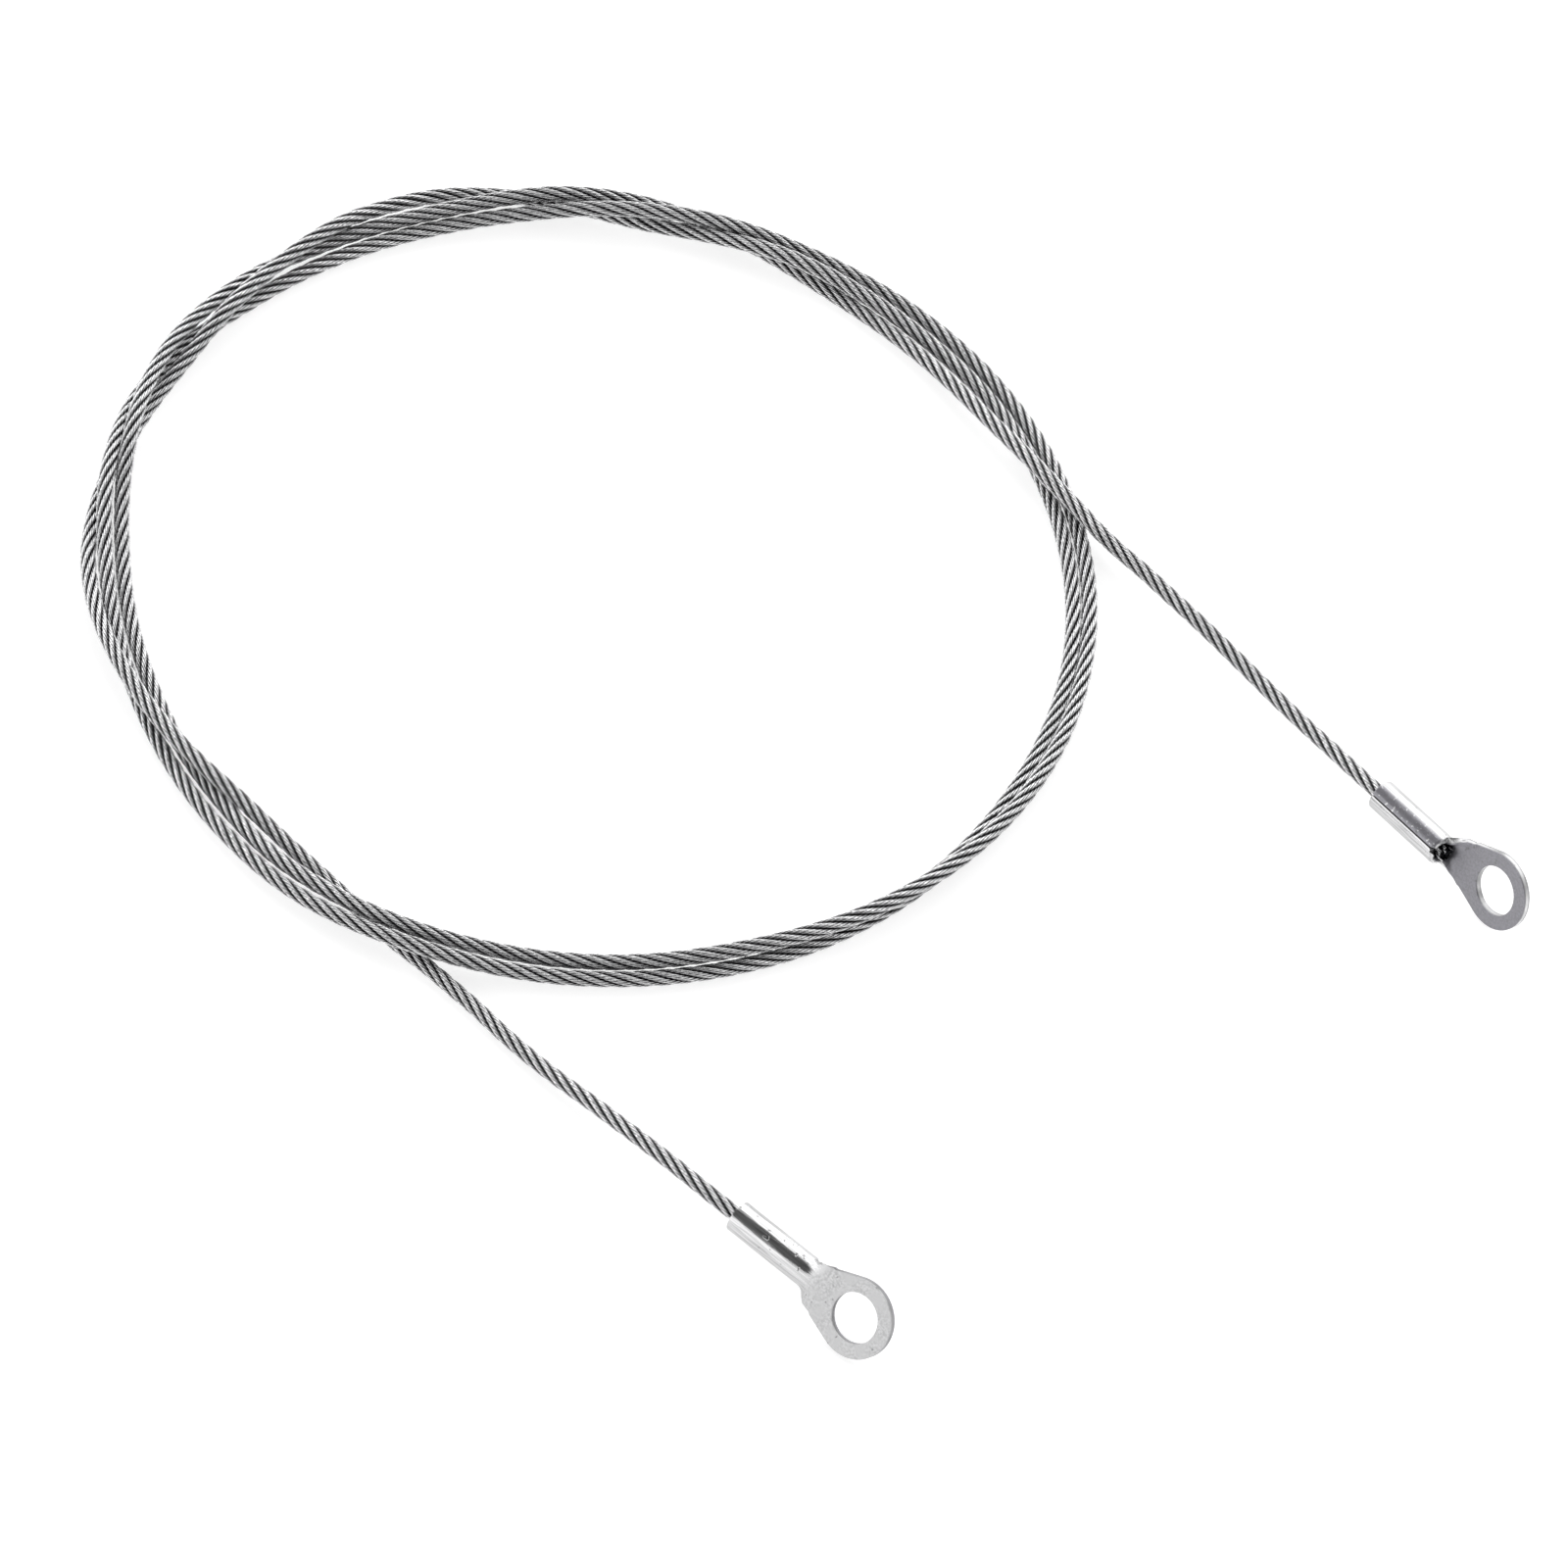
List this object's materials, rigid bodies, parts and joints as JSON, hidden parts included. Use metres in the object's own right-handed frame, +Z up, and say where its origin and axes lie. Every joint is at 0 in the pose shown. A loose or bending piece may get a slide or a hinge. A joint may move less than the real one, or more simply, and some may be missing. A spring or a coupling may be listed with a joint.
{
  "type": "wire rope lanyard with ring eyes",
  "caption": "Coiled stranded steel wire rope with a crimped flat ring eye on each end, for bolting down both ends.",
  "frame": {"origin": "on the surface that the lanyard lies on, at the middle of the two eyes' bounding box", "axes": "+X along the longest side of the two eyes' bounding box, away from the coil; +Y towards the coil; +Z up"},
  "size_m": [0.1818, 0.1765, 0.0096],
  "materials": {
    "eye_metal": "satin tin plating",
    "rope_wire": "bright drawn wire"
  },
  "bodies": {
    "root": {"front_eye": "eye_metal", "rear_eye": "eye_metal", "front_rope_leg": "rope_wire", "rope_coil": "rope_wire", "rear_rope_leg": "rope_wire", "front_core_strand": "rope_wire", "front_strand_1": "rope_wire", "front_strand_2": "rope_wire", "front_strand_3": "rope_wire", "front_strand_4": "rope_wire", "front_strand_5": "rope_wire", "front_strand_6": "rope_wire", "rear_core_strand": "rope_wire", "rear_strand_1": "rope_wire", "rear_strand_2": "rope_wire", "rear_strand_3": "rope_wire", "rear_strand_4": "rope_wire", "rear_strand_5": "rope_wire", "rear_strand_6": "rope_wire"}
  },
  "joints": []
}
